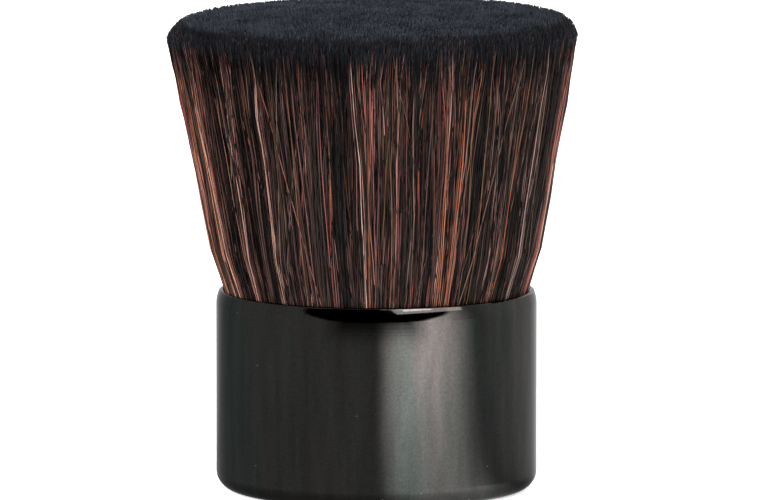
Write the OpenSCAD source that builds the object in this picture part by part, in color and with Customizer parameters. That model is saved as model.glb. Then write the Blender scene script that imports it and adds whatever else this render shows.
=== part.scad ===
// Flat-topped kabuki make-up brush: a flared knot of black and copper filaments
// set in a drawn aluminium cup that is both the ferrule and the handle.
// Millimetres, +Z up, the origin at the centre of the flat base.

/* [Handle cup] */
// Outside diameter of the cup
cup_d = 40; // [36:0.5:44]
// Height of the cup, from its base to the top of its rim
cup_h = 25; // [23:0.5:30]
// Thickness of the sheet that the cup is drawn from
sheet_t = 0.8; // [0.6:0.1:1.1]
// Outside radius of the edge round the base
base_round = 2.3; // [1.8:0.1:3]
// Outside radius of the bend that turns the rim inwards
crimp_round = 3.8; // [3.2:0.1:4.4]
// Angle that the rim is turned through
crimp_angle = 24; // [20:1:27]
// Width of the rim's rounded end, as a share of the sheet's thickness
lip_share = 0.9; // [0.8:0.05:0.95]

/* [Weight] */
// Thickness of the steel weight
weight_t = 4; // [2.5:0.5:5]
// Gap between the weight and the wall of the cup
weight_gap = 0.3; // [0.2:0.05:0.6]
// Width of the bevel round the weight's lower edge
weight_bevel = 1.3; // [1.2:0.1:2]
// Diameter of the adhesive pad under the weight
pad_d = 30; // [20:1:32]
// Thickness of the adhesive pad
pad_t = 0.5; // [0.3:0.1:1]

/* [Liner] */
// Gap between the liner and the wall of the cup
liner_gap = 0.25; // [0.15:0.05:0.4]
// Wall thickness of the liner
liner_wall = 1.2; // [1:0.1:1.4]
// Floor thickness of the liner
liner_floor = 1.4; // [1:0.1:2]
// Clearance between the liner's mouth and the filaments
mouth_clear = 0.15; // [0.1:0.05:0.4]
// Number of centring ribs round the liner
rib_count = 8; // [4:1:16]
// Width of a centring rib
rib_w = 1.2; // [0.8:0.1:2]
// Clearance between a centring rib and the wall of the cup
rib_clear = 0.02; // [0.01:0.01:0.1]
// Height of the band of glue round the liner
glue_h = 3; // [2:0.5:4]
// Depth of the groove in the liner that holds the glue
glue_depth = 0.4; // [0.3:0.1:0.5]
// Distance from the liner's top edge to the band of glue
glue_drop = 1.5; // [1:0.5:2.5]
// Radius of the curve inside the bottom corner of the liner
liner_round = 0.8; // [0.5:0.1:1.2]

/* [Spreader] */
// Diameter of the spreader's cone where the filaments part round it
spreader_d = 6; // [4:0.5:7]
// Height of the cone above the root of the knot
spreader_h = 10; // [7:0.5:11]
// Diameter of the cone's rounded tip
spreader_tip_d = 1.6; // [1:0.1:2]
// Diameter of the spigot that plugs into the liner
spigot_d = 3; // [2:0.5:4]
// Length of the spigot
spigot_h = 2.4; // [1.5:0.1:3]
// Clearance round the spigot and under its end
spigot_clear = 0.05; // [0.02:0.01:0.1]
// Wall of the boss that the spigot plugs into
boss_wall = 1.4; // [1:0.1:2]
// Height of the boss above the liner's floor
boss_h = 1.8; // [1.5:0.1:2.4]

/* [Root of the knot] */
// Thickness of the resin under the filaments
resin_t = 4.5; // [3:0.5:5]
// Thickness of the resin-soaked slice that the filaments stand in
slice_t = 1.5; // [1:0.1:2]
// Clearance between the resin, its slice and the spreader
resin_clear = 0.05; // [0.02:0.01:0.1]
// Height of the band of twine that binds the knot
twine_band = 2.4; // [1.5:0.1:3]
// Diameter of the twine
twine_d = 0.6; // [0.4:0.1:0.7]
// Distance from the slice to the band of twine
twine_lift = 0.5; // [0.3:0.1:1]
// Clearance between the twine and the filaments, and between the twine and the liner
twine_clear = 0.08; // [0.05:0.01:0.15]

/* [Head] */
// Overall height of the brush
brush_h = 60.5; // [55:0.5:68]
// Widest diameter of the head
head_d = 50.6; // [46:0.2:56]
// Radius of the rounded edge round the top of the head
head_round = 3.6; // [2.5:0.1:5]
// Height of the crown above the rounded edge
crown_rise = 1.1; // [0.5:0.1:2]
// Clearance between the filaments and the inside of the rim
rim_clear = 0.06; // [0.03:0.01:0.15]
// How far the outer filaments swell out over the rim
waist_swell = 0.55; // [0.3:0.05:0.6]
// Height above the middle of the rim's end at which they have swelled out
waist_rise = 0.9; // [0.85:0.05:1.5]

/* [Filaments] */
// Number of filaments in each of the two outer rows
row_count = 88; // [70:1:96]
// Share of the space between neighbours that an outer filament fills
row_fill = 0.96; // [0.8:0.01:0.98]
// Distance between the two outer rows, in filament radii
row_gap = 1.2; // [1.15:0.05:1.5]
// How far the tips of the outer filaments turn in, as a share of the head's rounded edge
tip_turn = 0.3; // [0.1:0.05:0.5]
// Width of an outer filament's tip, as a share of its width below
tip_taper = 0.7; // [0.4:0.05:1]
// Number of filaments in the core
core_count = 236; // [150:2:240]
// Radius of a core filament at its root
core_root_r = 0.5; // [0.3:0.01:0.55]
// Radius of a core filament at its top
core_top_r = 1.08; // [0.8:0.01:1.1]
// Unevenness of the filament ends
tip_scatter = 0.35; // [0:0.05:0.6]
// Share of the outer filaments that are copper
copper_share = 0.42; // [0.2:0.02:0.7]

/* [Hidden] */
fine_fn = 96;
small_fn = 32;
overlap = 0.5;      // how deep a filament stands in its slice
tip_seed = 7;       // fixes the scatter of the filament ends
golden_angle = 137.508;
sides = 4;          // flat sides of a filament
cut_past = 1;       // how far a cutting shape reaches past what it cuts
long_wave = 8;      // wide locks of one colour round the head
short_wave = 19;    // narrow locks of one colour round the head

// Heights of the stacked pieces, from the base upwards
cup_r = cup_d / 2;
bore_r = cup_r - sheet_t;
weight_z = sheet_t + pad_t;
liner_z = weight_z + weight_t;
liner_floor_z = liner_z + liner_floor;
slice_z = liner_floor_z + resin_t;
root_z = slice_z + slice_t;

// Rim of the cup: the bend's centre, and the rounded edge that ends it
lip_r = lip_share * sheet_t / 2;
crimp_mid = crimp_round - sheet_t / 2;
crimp_z = cup_h - lip_r - crimp_mid * sin(crimp_angle);
crimp_x = cup_r - crimp_round;
lip_z = cup_h - lip_r;
rim_hole_r = crimp_x + crimp_mid * cos(crimp_angle) - sheet_t / 2;

// Liner
liner_r = bore_r - liner_gap;
liner_bore_r = liner_r - liner_wall;
boss_r = spigot_d / 2 + spigot_clear + boss_wall;
boss_top_z = liner_floor_z + boss_h;

// Knot inside the cup: a cone that just lets the twine into the liner and meets the rim
knot_rim_r = rim_hole_r - rim_clear;
twine_top_z = root_z + twine_lift + twine_band - twine_d / 2;
twine_room_r = liner_bore_r - 2 * twine_clear - twine_d;
twine_share = (twine_top_z - root_z) / (lip_z - root_z);
root_r = (twine_room_r - knot_rim_r * twine_share) / (1 - twine_share);
knot_slope = (knot_rim_r - root_r) / (lip_z - root_z);
liner_top_z = root_z + (liner_bore_r - mouth_clear - root_r) / knot_slope;
groove_top_z = liner_top_z - glue_drop;

// Root slices and spreader
spreader_r = spreader_d / 2;
core_hole_r = spreader_r + resin_clear;
row_pinch = row_fill * PI / row_count;  // a filament's radius over its distance from the axis
split_r = row_in_r(root_r, 1) - resin_clear;  // parts the core's slice from the outer one

// Head
head_r = head_d / 2;
shoulder_z = brush_h - crown_rise - head_round;
crown_r = head_r - head_round;
turn_in = tip_turn * head_round;
waist_r = knot_rim_r + waist_swell;
waist_z = lip_z + waist_rise;

// Outline of the knot at a height inside the cup
function knot_r(z) = root_r + knot_slope * (z - root_z);

// Height of the top surface of the head at a radius
function top_z(r) =
    r < crown_r
        ? brush_h - crown_rise * pow(r / crown_r, 2)
        : shoulder_z + sqrt(max(0, pow(head_round, 2) - pow(r - crown_r, 2)));

// Distance from the axis of an outer filament whose outer corner touches a radius
function row_r(outline_r, row) =
    let (r = outline_r / (1 + row_pinch)) r * (1 - row * row_gap * row_pinch);

// Radius that an outer filament's inner corner reaches
function row_in_r(outline_r, row) = row_r(outline_r, row) * (1 - row_pinch);

// A point at a radius and an angle round the axis
function ring_point(r, angle, z) = [r * cos(angle), r * sin(angle), z];

// Corner j of a filament's section, with one corner turned outwards
function hair_corner(centre, r, angle, j) =
    centre + r * [cos(angle + j * 360 / sides), sin(angle + j * 360 / sides), 0];

// One filament through a list of [centre, radius] stations from root to tip
module hair(stations, angle) {
    last = len(stations) - 1;
    points = [for (s = stations, j = [0:sides - 1]) hair_corner(s[0], s[1], angle, j)];
    skin = [
        for (i = [0:last - 1], j = [0:sides - 1])
            let (a = i * sides + j, b = i * sides + (j + 1) % sides)
                each [[a, a + sides, b], [b, a + sides, b + sides]]
    ];
    ends = [
        [for (j = [0:sides - 1]) j],
        [for (j = [sides - 1:-1:0]) last * sides + j]
    ];
    polyhedron(points, concat(skin, ends));
}

// Share from 0 to 1 that wanders round the head as the mean of two waves, so that like colours
// lie in locks
function lock_share(angle) = (1 + (sin(angle * long_wave) + sin(angle * short_wave)) / 2) / 2;

// Whether an outer filament lies in a copper lock
function is_copper(i, row) = lock_share(row_angle(i, row)) < copper_share;

// Quarter ring of sheet that rounds the edge round the base
module base_edge_profile() {
    translate([cup_r - base_round, base_round])
        intersection() {
            difference() {
                circle(r = base_round, $fn = small_fn);
                circle(r = base_round - sheet_t, $fn = small_fn);
            }
            translate([0, -base_round]) square(base_round);
        }
}

// Bend and rounded edge that turn the rim in over the filaments
module crimp_profile() {
    reach = 2 * crimp_round;
    translate([crimp_x, crimp_z]) {
        intersection() {
            difference() {
                circle(r = crimp_round, $fn = small_fn);
                circle(r = crimp_round - sheet_t, $fn = small_fn);
            }
            polygon([[0, 0], [reach, 0], reach * [cos(crimp_angle), sin(crimp_angle)]]);
        }
        translate(crimp_mid * [cos(crimp_angle), sin(crimp_angle)])
            circle(r = lip_r, $fn = small_fn);
    }
}

// Drawn cup with a closed flat base, open at the top
module handle_cup() {
    color("#3a3836")
        rotate_extrude($fn = fine_fn) {
            square([cup_r - base_round, sheet_t]);
            base_edge_profile();
            translate([bore_r, base_round]) square([sheet_t, crimp_z - base_round]);
            crimp_profile();
        }
}

// Adhesive pad that holds the weight to the floor of the cup
module weight_pad() {
    color("#4a4a4c")
        translate([0, 0, sheet_t])
            cylinder(d = pad_d, h = pad_t, $fn = fine_fn);
}

// Steel disc that makes the brush stand firmly, bevelled to clear the cup's rounded corner
module base_weight() {
    weight_r = bore_r - weight_gap;
    color("#a9adb0")
        translate([0, 0, weight_z])
            rotate_extrude($fn = fine_fn)
                polygon([
                    [0, 0],
                    [weight_r - weight_bevel, 0],
                    [weight_r, weight_bevel],
                    [weight_r, weight_t],
                    [0, weight_t]
                ]);
}

// Section of the liner: floor, rounded inside corner and wall
module liner_profile() {
    translate([0, liner_z]) square([liner_r, liner_floor]);
    translate([liner_bore_r, liner_z]) square([liner_wall, liner_top_z - liner_z]);
    translate([liner_bore_r - liner_round, liner_floor_z])
        difference() {
            square(liner_round);
            translate([0, liner_round]) circle(r = liner_round, $fn = small_fn);
        }
    translate([0, liner_floor_z]) square([boss_r, boss_h]);
}

// Upright ribs that centre the liner in the cup, below its band of glue
module centring_ribs() {
    rib_reach = bore_r - rib_clear;
    rib_bottom_z = liner_z + liner_floor;
    rib_top_z = groove_top_z - glue_h - rib_w;
    for (i = [0:rib_count - 1])
        rotate([0, 0, i * 360 / rib_count])
            translate([liner_r - liner_wall / 2, -rib_w / 2, rib_bottom_z])
                cube([rib_reach - liner_r + liner_wall / 2, rib_w, rib_top_z - rib_bottom_z]);
}

// Moulded liner that holds the root of the knot
module liner_cup() {
    color("#d8d4c8")
        difference() {
            union() {
                rotate_extrude($fn = fine_fn) liner_profile();
                centring_ribs();
            }
            translate([0, 0, boss_top_z - spigot_h - spigot_clear])
                cylinder(d = spigot_d + 2 * spigot_clear, h = spigot_h + cut_past, $fn = small_fn);
            translate([0, 0, groove_top_z - glue_h])
                difference() {
                    cylinder(r = bore_r, h = glue_h, $fn = fine_fn);
                    translate([0, 0, -cut_past])
                        cylinder(r = liner_r - glue_depth, h = glue_h + 2 * cut_past, $fn = fine_fn);
                }
        }
}

// Band of glue that fills the liner's groove and bonds it to the cup
module liner_glue() {
    color("#c9b27a")
        translate([0, 0, groove_top_z - glue_h])
            difference() {
                cylinder(r = bore_r, h = glue_h, $fn = fine_fn);
                translate([0, 0, -cut_past])
                    cylinder(r = liner_r - glue_depth, h = glue_h + 2 * cut_past, $fn = fine_fn);
            }
}

// Moulded peg on the axis that spreads the filaments outwards
module spreader_peg() {
    tip_r = spreader_tip_d / 2;
    color("#d8d4c8")
        rotate_extrude($fn = fine_fn) {
            translate([0, boss_top_z - spigot_h]) square([spigot_d / 2, spigot_h]);
            translate([0, boss_top_z]) square([spreader_r, root_z - boss_top_z]);
            polygon([
                [0, root_z],
                [spreader_r, root_z],
                [tip_r, root_z + spreader_h - tip_r],
                [0, root_z + spreader_h - tip_r]
            ]);
            translate([0, root_z + spreader_h - tip_r])
                intersection() {
                    circle(r = tip_r, $fn = small_fn);
                    square(tip_r);
                }
        }
}

// Resin that fills the bottom of the liner and locks the filaments in
module resin_plug() {
    resin_r = liner_bore_r - resin_clear;
    color("#b98a4a")
        rotate_extrude($fn = fine_fn)
            difference() {
                translate([0, liner_floor_z]) square([resin_r, resin_t]);
                square([boss_r + resin_clear, boss_top_z + resin_clear]);
                square([core_hole_r, slice_z + cut_past]);
                translate([resin_r - liner_round, liner_floor_z])
                    difference() {
                        square([2 * liner_round, liner_round]);
                        translate([0, liner_round]) circle(r = liner_round, $fn = small_fn);
                    }
            }
}

// Centre of a turn of twine in the plane of the section, at a height
function turn_at(z) = [knot_r(z) + twine_clear + twine_d / 2, z];

// Twine wound round the filaments just above their root, as one band that leans with the knot
module binding_twine() {
    first = turn_at(root_z + twine_lift + twine_d / 2);
    last = turn_at(twine_top_z);
    lean = atan2(last[1] - first[1], last[0] - first[0]);
    across = twine_d / 2 * [sin(lean), -cos(lean)];
    color("#e4ddc8")
        rotate_extrude($fn = fine_fn) {
            translate(first) circle(d = twine_d, $fn = small_fn);
            translate(last) circle(d = twine_d, $fn = small_fn);
            polygon([first + across, last + across, last - across, first - across]);
        }
}

// Angle of filament i of an outer row; the rows are staggered by half a step
function row_angle(i, row) = (i + row / 2) * 360 / row_count;

// Straight black filament of the core, number i of a sunflower spiral with a hole for the spreader
module core_hair(i) {
    share = (i + 0.5) / core_count;
    angle = i * golden_angle;
    scatter = tip_scatter * rands(-1, 0, 1, tip_seed + i)[0];
    root_first = core_hole_r + core_root_r;
    root_last = split_r - resin_clear - core_root_r;
    root_at = sqrt(pow(root_first, 2) + (pow(root_last, 2) - pow(root_first, 2)) * share);
    top_at = (row_in_r(head_r, 1) - turn_in - core_top_r) * sqrt(share);
    hair([
        [ring_point(root_at, angle, root_z - overlap), core_root_r],
        [ring_point(top_at, angle, top_z(top_at) + scatter), core_top_r]
    ], angle);
}

// Filament i of an outer row, which meets the rim, swells out over it, flares and then turns in
module row_hair(i, row) {
    scatter = tip_scatter * rands(-1, 0, 1, tip_seed * row_count + i + row * row_count)[0];
    root_at = row_r(root_r - resin_clear, row);
    rim_at = row_r(knot_rim_r, row);
    waist_at = row_r(waist_r, row);
    head_at = row_r(head_r, row);
    tip_at = head_at - turn_in;
    hair([
        [ring_point(root_at, 0, root_z - overlap), root_at * row_pinch],
        [ring_point(rim_at, 0, lip_z), rim_at * row_pinch],
        [ring_point(waist_at, 0, waist_z), waist_at * row_pinch],
        [ring_point(head_at, 0, shoulder_z), head_at * row_pinch],
        [ring_point(tip_at, 0, top_z(tip_at) + scatter), tip_at * row_pinch * tip_taper]
    ], 0);
}

// Ring of resin-soaked roots between two radii
module root_slice(inner_r, outer_r) {
    translate([0, 0, slice_z])
        difference() {
            cylinder(r = outer_r, h = slice_t, $fn = small_fn);
            translate([0, 0, -cut_past])
                cylinder(r = inner_r, h = slice_t + 2 * cut_past, $fn = small_fn);
        }
}

// Core of the knot, fused to its slice of resin-soaked roots
module core_bristles() {
    color("#17181b") {
        root_slice(core_hole_r, split_r - resin_clear);
        for (i = [0:core_count - 1]) core_hair(i);
    }
}

// Two outer rows of black and copper filaments, fused to their slice of resin-soaked roots
module outer_bristles() {
    color("#17181b") root_slice(split_r, root_r);
    for (row = [0, 1], i = [0:row_count - 1])
        color(is_copper(i, row) ? "#9c4f30" : "#17181b")
            rotate([0, 0, row_angle(i, row)]) row_hair(i, row);
}

handle_cup();
weight_pad();
base_weight();
liner_cup();
liner_glue();
spreader_peg();
resin_plug();
binding_twine();
core_bristles();
outer_bristles();
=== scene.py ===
"""Looks of a flat-topped kabuki make-up brush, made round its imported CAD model.

The metal cup, the weight, the liner and the glue keep their CAD shapes and get their finishes here.
The knot is grown filament by filament, in the space that the thick filaments of the CAD model hold.
"""

from __future__ import annotations

import logging  # noqa: E402
import math  # noqa: E402
from dataclasses import dataclass, field  # noqa: E402
from enum import Enum, IntEnum  # noqa: E402

import bpy  # noqa: E402
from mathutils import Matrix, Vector  # noqa: E402


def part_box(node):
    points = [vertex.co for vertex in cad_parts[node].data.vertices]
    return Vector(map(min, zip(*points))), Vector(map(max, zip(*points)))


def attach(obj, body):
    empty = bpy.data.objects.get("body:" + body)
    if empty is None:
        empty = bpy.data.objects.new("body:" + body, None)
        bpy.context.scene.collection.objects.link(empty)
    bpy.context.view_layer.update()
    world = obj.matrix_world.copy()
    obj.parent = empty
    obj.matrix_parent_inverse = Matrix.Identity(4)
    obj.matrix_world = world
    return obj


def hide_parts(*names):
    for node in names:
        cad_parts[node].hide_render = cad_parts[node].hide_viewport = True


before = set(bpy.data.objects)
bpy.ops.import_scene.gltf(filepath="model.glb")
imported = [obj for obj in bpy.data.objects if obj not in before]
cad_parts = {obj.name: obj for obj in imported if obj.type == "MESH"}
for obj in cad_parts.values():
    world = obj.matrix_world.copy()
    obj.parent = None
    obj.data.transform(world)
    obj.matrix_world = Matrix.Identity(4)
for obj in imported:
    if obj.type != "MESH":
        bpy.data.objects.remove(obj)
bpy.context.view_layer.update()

log = logging.getLogger("kabuki_brush")

ROOT_BODY = "root"
BAKE_MAP = "OFBake"  # the map that the filament colours are laid out on
COLUMNS = 256  # tints that the map holds side by side

MM_PER_M = 1000
NOISE_MIDDLE = 0.5
NOISE_SPAN = (0.3, 0.7)  # nearly all values of a noise lie between these
CENTRED = (-0.5, 0.5)  # limits of a draw about zero

Node = bpy.types.Node
Colour = tuple[float, float, float, float]
Source = Node | bpy.types.NodeSocket | float
Setting = Source | str | tuple[float, ...] | bpy.types.Material

WHITE: Colour = (1.0, 1.0, 1.0, 1.0)


def mm(length: float) -> float:
    """Return a length in millimetres as metres."""
    return length / MM_PER_M


def per_mm(period: float) -> float:
    """Return the texture scale that gives a pattern this period in millimetres."""
    return MM_PER_M / period


def linear(hex_colour: str) -> Colour:
    """Turn an sRGB hex colour into the linear colour that the shaders take, by the sRGB standard's curve.

    Args:
        hex_colour: A colour such as "#9c4f30".

    Returns:
        Red, green, blue and an alpha of 1.
    """
    shares = [int(hex_colour[i : i + 2], 16) / 255 for i in (1, 3, 5)]
    red, green, blue = (s / 12.92 if s <= 0.04045 else ((s + 0.055) / 1.055) ** 2.4 for s in shares)
    return red, green, blue, 1.0


def in_use(sockets: bpy.types.bpy_prop_collection, key: str | int | None = None) -> bpy.types.NodeSocket:
    """Find a socket of a node.

    Args:
        sockets: The node's inputs or outputs.
        key: The socket's number or name, or None for the first one in use.

    Returns:
        The socket. Of those with one name, it is the one that the node's settings use.
    """
    if isinstance(key, int):
        return sockets[key]
    return next(s for s in sockets if s.enabled and key in (None, s.name))


@dataclass(frozen=True)
class Nodes:
    """The nodes of a tree that is being built."""

    tree: bpy.types.NodeTree

    def feed(self, node: Node, inputs: dict[str | int, Setting]) -> None:
        """Set or link a node's inputs.

        Args:
            node: The node.
            inputs: By the input's name or number, a value to set, a socket to link, or a node whose
                first output in use is linked.
        """
        for key, value in inputs.items():
            socket = in_use(node.inputs, key)
            if isinstance(value, Node):
                value = in_use(value.outputs)
            if isinstance(value, bpy.types.NodeSocket):
                self.tree.links.new(value, socket)
            else:
                socket.default_value = value

    def add(
        self, kind: str, inputs: dict[str | int, Setting] | None = None, **settings: str | bool
    ) -> Node:
        """Add a node with its settings, its values and its links.

        Args:
            kind: The node's Blender type.
            inputs: What the inputs get, as feed takes it.
            **settings: Properties of the node itself, such as operation.

        Returns:
            The new node.
        """
        node = self.tree.nodes.new(kind)
        for name, value in settings.items():
            setattr(node, name, value)
        self.feed(node, inputs or {})
        return node

    def add_window(self, value: Source, limits: tuple[float, float], edges: tuple[float, float]) -> Node:
        """Add what gives 1 where a value lies between two limits and 0 outside, with soft edges.

        Args:
            value: The value.
            limits: Lower and upper limit, each in the middle of its soft edge.
            edges: Half the width of each soft edge.

        Returns:
            The node that gives the result.
        """
        inside = [
            self.add(
                "ShaderNodeMapRange",
                {"Value": value, "From Min": limit - side * edge, "From Max": limit + side * edge},
                interpolation_type="SMOOTHSTEP",
            )
            for limit, edge, side in zip(limits, edges, (1, -1), strict=True)
        ]
        return self.add("ShaderNodeMath", dict(enumerate(inside)), operation="MULTIPLY")

    def add_shade(self, pattern: dict[str | int, Setting], change: float) -> Node:
        """Add a shade that wanders about 1 with a noise.

        Args:
            pattern: The noise's inputs.
            change: How far the shade goes from 1.

        Returns:
            The node that gives the shade.
        """
        low, high = NOISE_SPAN
        noise = self.add("ShaderNodeTexNoise", pattern)
        return self.add(
            "ShaderNodeMapRange",
            {"Value": noise, "From Min": low, "From Max": high, "To Min": 1 - change, "To Max": 1 + change},
        )


def set_ramp(ramp: bpy.types.ColorRamp, stops: list[tuple[float, str]]) -> None:
    """Give a colour ramp its stops.

    Args:
        ramp: The ramp of a Color Ramp node.
        stops: Position from 0 to 1 and sRGB hex colour of each stop.
    """
    while len(ramp.elements) < len(stops):
        ramp.elements.new(1.0)
    for element, (position, colour) in zip(ramp.elements, stops, strict=True):
        element.position = position
        element.color = linear(colour)


def set_curve(mapping: bpy.types.CurveMapping, points: list[tuple[float, float]]) -> None:
    """Give a Float Curve node straight stretches between points.

    Args:
        mapping: The node's curve mapping.
        points: The points from left to right, each from 0 to 1.
    """
    curve = mapping.curves[0]
    while len(curve.points) < len(points):
        curve.points.new(1.0, 1.0)
    for point, place in zip(curve.points, points, strict=True):
        point.location = place
        point.handle_type = "VECTOR"
    mapping.update()


def new_material(name: str) -> tuple[bpy.types.Material, Nodes, Node]:
    """Make a material with a Principled shader.

    Args:
        name: The material's name.

    Returns:
        The material, its nodes and the shader.
    """
    material = bpy.data.materials.new(name)
    material.use_nodes = True
    nodes = Nodes(material.node_tree)
    return material, nodes, nodes.tree.nodes["Principled BSDF"]


@dataclass(frozen=True)
class AnodisedAluminium:
    """Drawn aluminium, polished and anodised black.

    The oxide mirrors softly and darkly. Its tint wanders a little between green and pink as its
    thickness does, and it shows faint turning marks, smudges and a few pale specks of dust.
    """

    colour: str = "#444442"
    greenish: str = "#404744"
    pinkish: str = "#484342"
    dust: str = "#8f8a83"
    roughness: float = 0.07
    smudge: float = 0.02  # how much the roughness wanders
    edge_tint: float = 0.6  # the dyed oxide takes some of the glancing light
    turning_pitch: float = 0.35  # mm; the real marks are finer, and would not show in the render
    turning_round: float = 0.02  # how fast the marks change round the cup, against along it
    turning_depth: float = 0.0004  # mm
    tint_size: float = 7.0  # mm
    tint_drop: float = 0.12  # how fast the tints change down the cup, against round it
    smudge_size: float = 9.0  # mm
    tint_seed: float = 7.0
    tint_stops: tuple[float, float, float] = (0.35, 0.5, 0.65)  # pinkish, the oxide's own, greenish
    grain_size: float = 0.28  # mm
    grain: float = 0.14  # how much the grain changes the colour
    drawn_size: float = 1.6  # mm
    drawn: float = 0.16  # how much the drawn streaks change the colour
    dust_spacing: float = 2.4  # mm
    dust_size: float = 0.09  # mm

    def add_colour(self, nodes: Nodes, place: Source) -> Node:
        """Add the oxide's colour: its tints, its grain, the drawn streaks and the dust.

        Args:
            nodes: The material's nodes.
            place: The points' places on the cup.

        Returns:
            The node that gives the colour.
        """
        drawn_down = nodes.add("ShaderNodeMapping", {"Vector": place, "Scale": (1.0, 1.0, self.tint_drop)})
        clouds = nodes.add(
            "ShaderNodeTexNoise",
            {"Vector": drawn_down, "W": self.tint_seed, "Scale": per_mm(self.tint_size), "Detail": 3.0},
            noise_dimensions="4D",
        )
        oxide = nodes.add("ShaderNodeValToRGB", {"Fac": clouds})
        tints = (self.pinkish, self.colour, self.greenish)
        set_ramp(oxide.color_ramp, list(zip(self.tint_stops, tints, strict=True)))
        shades = [
            nodes.add_shade({"Vector": vector, "Scale": per_mm(size), "Detail": 2.0}, change)
            for vector, size, change in (
                (place, self.grain_size, self.grain),
                (drawn_down, self.drawn_size, self.drawn),
            )
        ]
        shade = nodes.add("ShaderNodeMath", dict(enumerate(shades)), operation="MULTIPLY")
        shaded = nodes.add("ShaderNodeVectorMath", {0: oxide, "Scale": shade}, operation="SCALE")
        grains = nodes.add("ShaderNodeTexVoronoi", {"Vector": place, "Scale": per_mm(self.dust_spacing)})
        dusty = nodes.add(
            "ShaderNodeMath", {0: grains, 1: self.dust_size / self.dust_spacing}, operation="LESS_THAN"
        )
        return nodes.add(
            "ShaderNodeMix", {"Factor": dusty, "A": shaded, "B": linear(self.dust)}, data_type="RGBA"
        )

    def make(self) -> bpy.types.Material:
        """Build the material.

        Returns:
            The material.
        """
        material, nodes, shader = new_material("anodised_aluminium")
        place = nodes.add("ShaderNodeTexCoord").outputs["Object"]
        squashed = nodes.add(
            "ShaderNodeMapping", {"Vector": place, "Scale": (self.turning_round, self.turning_round, 1.0)}
        )
        marks = nodes.add(
            "ShaderNodeTexNoise", {"Vector": squashed, "Scale": per_mm(self.turning_pitch), "Detail": 2.0}
        )
        smudges = nodes.add(
            "ShaderNodeTexNoise", {"Vector": place, "Scale": per_mm(self.smudge_size), "Detail": 4.0}
        )
        rough = nodes.add(
            "ShaderNodeMapRange",
            {
                "Value": smudges,
                "To Min": self.roughness - self.smudge,
                "To Max": self.roughness + self.smudge,
            },
        )
        bump = nodes.add(
            "ShaderNodeBump", {"Height": marks, "Strength": 1.0, "Distance": mm(self.turning_depth)}
        )
        nodes.feed(
            shader,
            {
                "Base Color": self.add_colour(nodes, place),
                "Metallic": 1.0,
                "Roughness": rough,
                "Specular Tint": (self.edge_tint, self.edge_tint, self.edge_tint, 1.0),
                "Normal": bump,
            },
        )
        return material


@dataclass(frozen=True)
class Mottled:
    """A material whose colour and surface wander a little: foam, moulded plastic, glue or zinc."""

    name: str
    dark: str
    light: str
    roughness: float
    grain: float  # mm
    depth: float  # mm
    metallic: float = 0.0
    coat: float = 0.0

    def make(self) -> bpy.types.Material:
        """Build the material.

        Returns:
            The material.
        """
        material, nodes, shader = new_material(self.name)
        place = nodes.add("ShaderNodeTexCoord").outputs["Object"]
        grain = nodes.add(
            "ShaderNodeTexNoise", {"Vector": place, "Scale": per_mm(self.grain), "Detail": 4.0}
        )
        tint = nodes.add("ShaderNodeValToRGB", {"Fac": grain})
        set_ramp(tint.color_ramp, list(zip(NOISE_SPAN, (self.dark, self.light), strict=True)))
        bump = nodes.add("ShaderNodeBump", {"Height": grain, "Distance": mm(self.depth)})
        nodes.feed(
            shader,
            {
                "Base Color": tint,
                "Metallic": self.metallic,
                "Roughness": self.roughness,
                "Coat Weight": self.coat,
                "Normal": bump,
            },
        )
        return material


@dataclass(frozen=True)
class WaxedTwine:
    """Two-ply cotton twine drawn through wax: pale, softly shining, with slanting plies."""

    dark: str = "#b3a98e"
    light: str = "#e6dfca"
    roughness: float = 0.62
    ply_pitch: float = 0.9  # mm
    ply_depth: float = 0.08  # mm
    unevenness: float = 1.5  # how much the plies wander

    def make(self) -> bpy.types.Material:
        """Build the material.

        Returns:
            The material.
        """
        material, nodes, shader = new_material("waxed_twine")
        place = nodes.add("ShaderNodeTexCoord").outputs["Object"]
        plies = nodes.add(
            "ShaderNodeTexWave",
            {"Vector": place, "Scale": per_mm(self.ply_pitch) / math.tau, "Distortion": self.unevenness},
            bands_direction="DIAGONAL",
        )
        tint = nodes.add("ShaderNodeValToRGB", {"Fac": plies.outputs["Fac"]})
        set_ramp(tint.color_ramp, [(0.0, self.dark), (1.0, self.light)])
        bump = nodes.add("ShaderNodeBump", {"Height": plies.outputs["Fac"], "Distance": mm(self.ply_depth)})
        nodes.feed(shader, {"Base Color": tint, "Roughness": self.roughness, "Normal": bump})
        return material


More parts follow.
